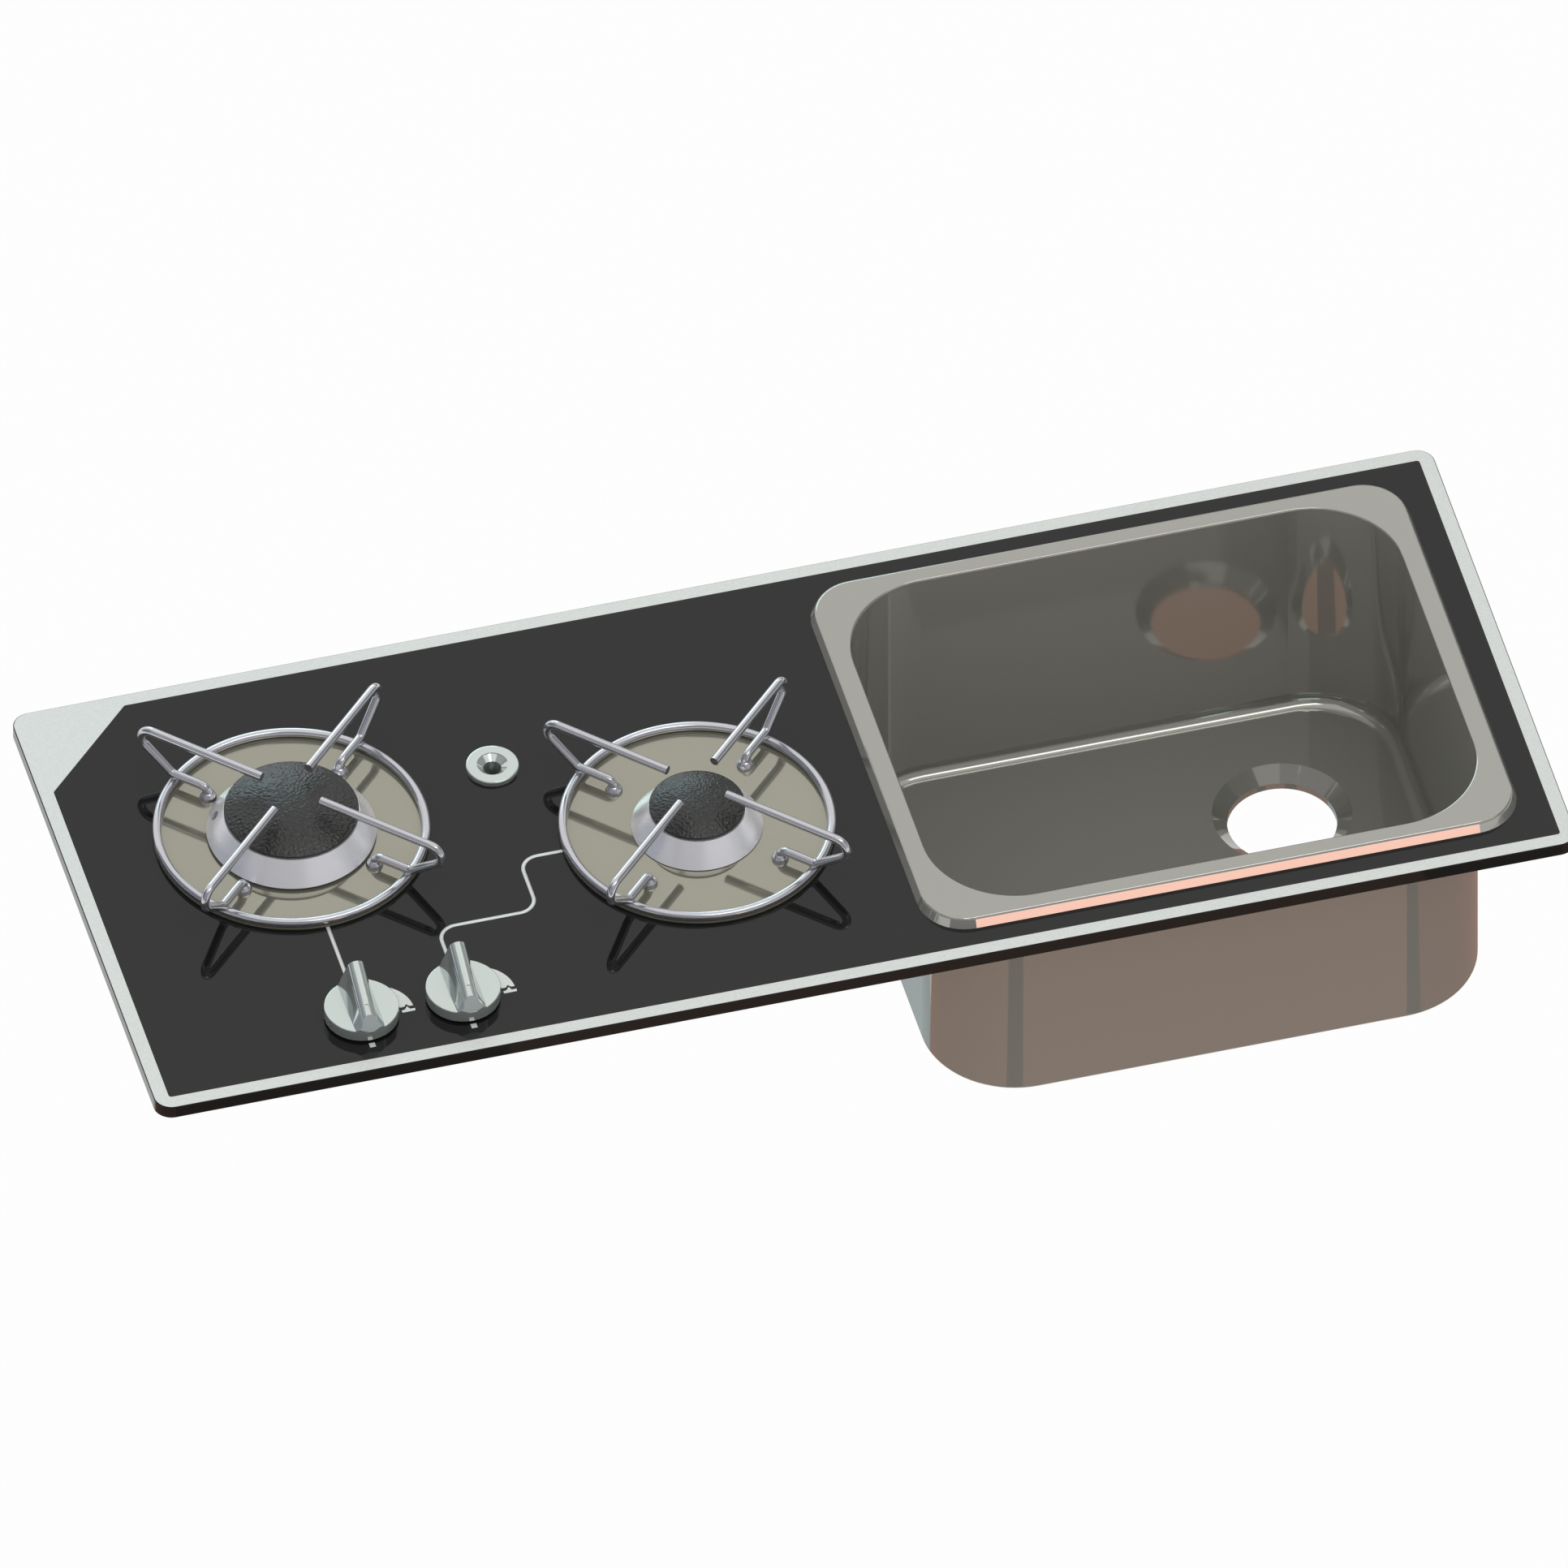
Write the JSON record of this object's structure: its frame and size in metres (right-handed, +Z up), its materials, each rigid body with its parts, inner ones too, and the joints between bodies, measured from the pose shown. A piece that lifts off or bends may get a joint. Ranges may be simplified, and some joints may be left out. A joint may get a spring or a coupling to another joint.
{
  "type": "hob and sink combination",
  "caption": "Drop-in worktop unit of black glass: gas burners with wire pan supports and push-and-turn knobs, beside a pressed steel sink bowl with a drain hole.",
  "frame": {"origin": "the plate's centre on the worktop plane, which is the underside of the worktop seal", "axes": "+X along the plate towards the sink, +Y towards the back, +Z up out of the worktop"},
  "size_m": [0.8, 0.314, 0.1894],
  "materials": {
    "black_glass": "polished, opaque black",
    "seal_foam": "closed-cell foam",
    "seal_rubber": "moulded",
    "stainless_steel": "polished",
    "polished_steel": "mirror polished",
    "zinc_plate": "galvanised sheet",
    "fasteners": "zinc plated",
    "spring_steel": "drawn wire",
    "steel_wire": "satin bright wire",
    "aluminium": "satin cast",
    "black_enamel": "hammered enamel",
    "satin_metal": "satin",
    "brass": "machined",
    "gas_pipe": "drawn tube",
    "thermocouple_metal": "copper lead"
  },
  "bodies": {
    "base": {"burner_box": "zinc_plate", "burner_box_seal": "seal_foam", "centre_bush": "satin_metal", "centre_bush_nut": "fasteners", "centre_bush_washer": "fasteners", "gas_manifold": "gas_pipe", "gland_screws": "fasteners", "glass_top": "black_glass", "inlet_grommet": "seal_rubber", "left_burner_cup": "aluminium", "left_gas_tap": "brass", "left_injector": "brass", "left_injector_holder": "brass", "left_injector_holder_nut": "fasteners", "left_knob_seal": "seal_rubber", "left_knob_spring": "spring_steel", "left_spill_tray": "polished_steel", "left_supply_pipe": "gas_pipe", "left_tap_gland": "brass", "left_thermocouple": "thermocouple_metal", "right_burner_cup": "aluminium", "right_gas_tap": "brass", "right_injector": "brass", "right_injector_holder": "brass", "right_injector_holder_nut": "fasteners", "right_knob_seal": "seal_rubber", "right_knob_spring": "spring_steel", "right_spill_tray": "polished_steel", "right_supply_pipe": "gas_pipe", "right_tap_gland": "brass", "right_thermocouple": "thermocouple_metal", "sink_bowl": "stainless_steel", "sink_clamp_screws": "fasteners", "sink_clamps": "zinc_plate", "sink_rim_seal": "seal_rubber", "tap_screws": "fasteners", "worktop_brackets": "zinc_plate", "worktop_seal": "seal_foam"},
    "left_tap_plug": {"left_tap_plug": "brass"},
    "left_knob": {"left_knob": "satin_metal", "left_tap_spindle": "fasteners"},
    "left_pan_support": {"left_pan_support": "steel_wire", "left_pan_support_feet": "steel_wire"},
    "left_burner_cap": {"left_burner_cap": "black_enamel"},
    "left_flame_spreader": {"left_flame_spreader": "aluminium"},
    "right_tap_plug": {"right_tap_plug": "brass"},
    "right_knob": {"right_knob": "satin_metal", "right_tap_spindle": "fasteners"},
    "right_pan_support": {"right_pan_support": "steel_wire", "right_pan_support_feet": "steel_wire"},
    "right_burner_cap": {"right_burner_cap": "black_enamel"},
    "right_flame_spreader": {"right_flame_spreader": "aluminium"}
  },
  "joints": [
    {"name": "left_knob_turn", "type": "hinge", "parent": "base", "child": "left_tap_plug", "pos_m": [-0.2745, -0.1155, 0], "axis": [0, 0, 1], "range_deg": [0, 160]},
    {"name": "left_knob_push", "type": "slide", "parent": "left_tap_plug", "child": "left_knob", "axis": [0, 0, -1], "range_m": [0, 0.0014], "stiffness_N_per_m": 1200, "springref_m": -0.003, "deforming": ["left_knob_spring"]},
    {"name": "left_pan_support_lift", "type": "slide", "parent": "base", "child": "left_pan_support", "axis": [0, 0, 1], "range_m": [0, 0.12]},
    {"name": "left_burner_cap_lift", "type": "slide", "parent": "base", "child": "left_burner_cap", "axis": [0, 0, 1], "range_m": [0, 0.072]},
    {"name": "left_flame_spreader_lift", "type": "slide", "parent": "base", "child": "left_flame_spreader", "axis": [0, 0, 1], "range_m": [0, 0.036]},
    {"name": "right_knob_turn", "type": "hinge", "parent": "base", "child": "right_tap_plug", "pos_m": [-0.2173, -0.1155, 0], "axis": [0, 0, 1], "range_deg": [0, 160]},
    {"name": "right_knob_push", "type": "slide", "parent": "right_tap_plug", "child": "right_knob", "axis": [0, 0, -1], "range_m": [0, 0.0014], "stiffness_N_per_m": 1200, "springref_m": -0.003, "deforming": ["right_knob_spring"]},
    {"name": "right_pan_support_lift", "type": "slide", "parent": "base", "child": "right_pan_support", "axis": [0, 0, 1], "range_m": [0, 0.12]},
    {"name": "right_burner_cap_lift", "type": "slide", "parent": "base", "child": "right_burner_cap", "axis": [0, 0, 1], "range_m": [0, 0.072]},
    {"name": "right_flame_spreader_lift", "type": "slide", "parent": "base", "child": "right_flame_spreader", "axis": [0, 0, 1], "range_m": [0, 0.036]}
  ],
  "couplings": [
    {"joint": "left_burner_cap_lift", "follows": "left_pan_support_lift", "ratio": 0.6},
    {"joint": "left_flame_spreader_lift", "follows": "left_pan_support_lift", "ratio": 0.3},
    {"joint": "right_burner_cap_lift", "follows": "right_pan_support_lift", "ratio": 0.6},
    {"joint": "right_flame_spreader_lift", "follows": "right_pan_support_lift", "ratio": 0.3}
  ]
}
